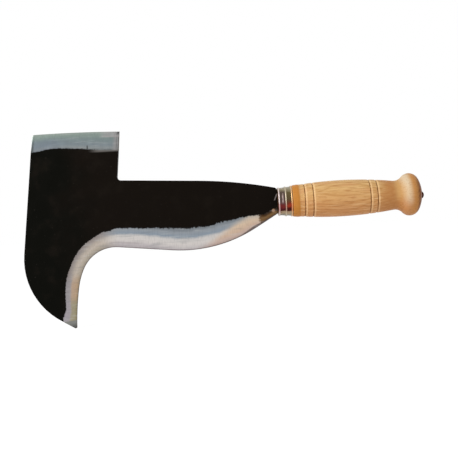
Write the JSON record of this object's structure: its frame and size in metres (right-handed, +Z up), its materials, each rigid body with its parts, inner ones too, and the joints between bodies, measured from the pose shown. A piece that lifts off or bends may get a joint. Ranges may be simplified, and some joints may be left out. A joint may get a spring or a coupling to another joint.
{
  "type": "billhook",
  "caption": "Billhook with a hatchet edge on its back: forged black blade with bright ground bevels, through tang, beaded steel ferrule and a turned wooden handle with a mushroom pommel.",
  "frame": {"origin": "middle of the grip, on the handle's axis", "axes": "+X along the handle towards the pommel, +Y across the blade, +Z up towards the hatchet edge, with the hook below"},
  "size_m": [0.4024, 0.0424, 0.1956],
  "materials": {
    "lacquered_steel": "black lacquer with bright ground bevels",
    "plated_steel": "bright plated",
    "turned_wood": "sanded and oiled",
    "washer_steel": "bare steel"
  },
  "bodies": {
    "root": {"blade": "lacquered_steel", "ferrule": "plated_steel", "handle": "turned_wood", "tang_washer": "washer_steel"}
  },
  "joints": []
}
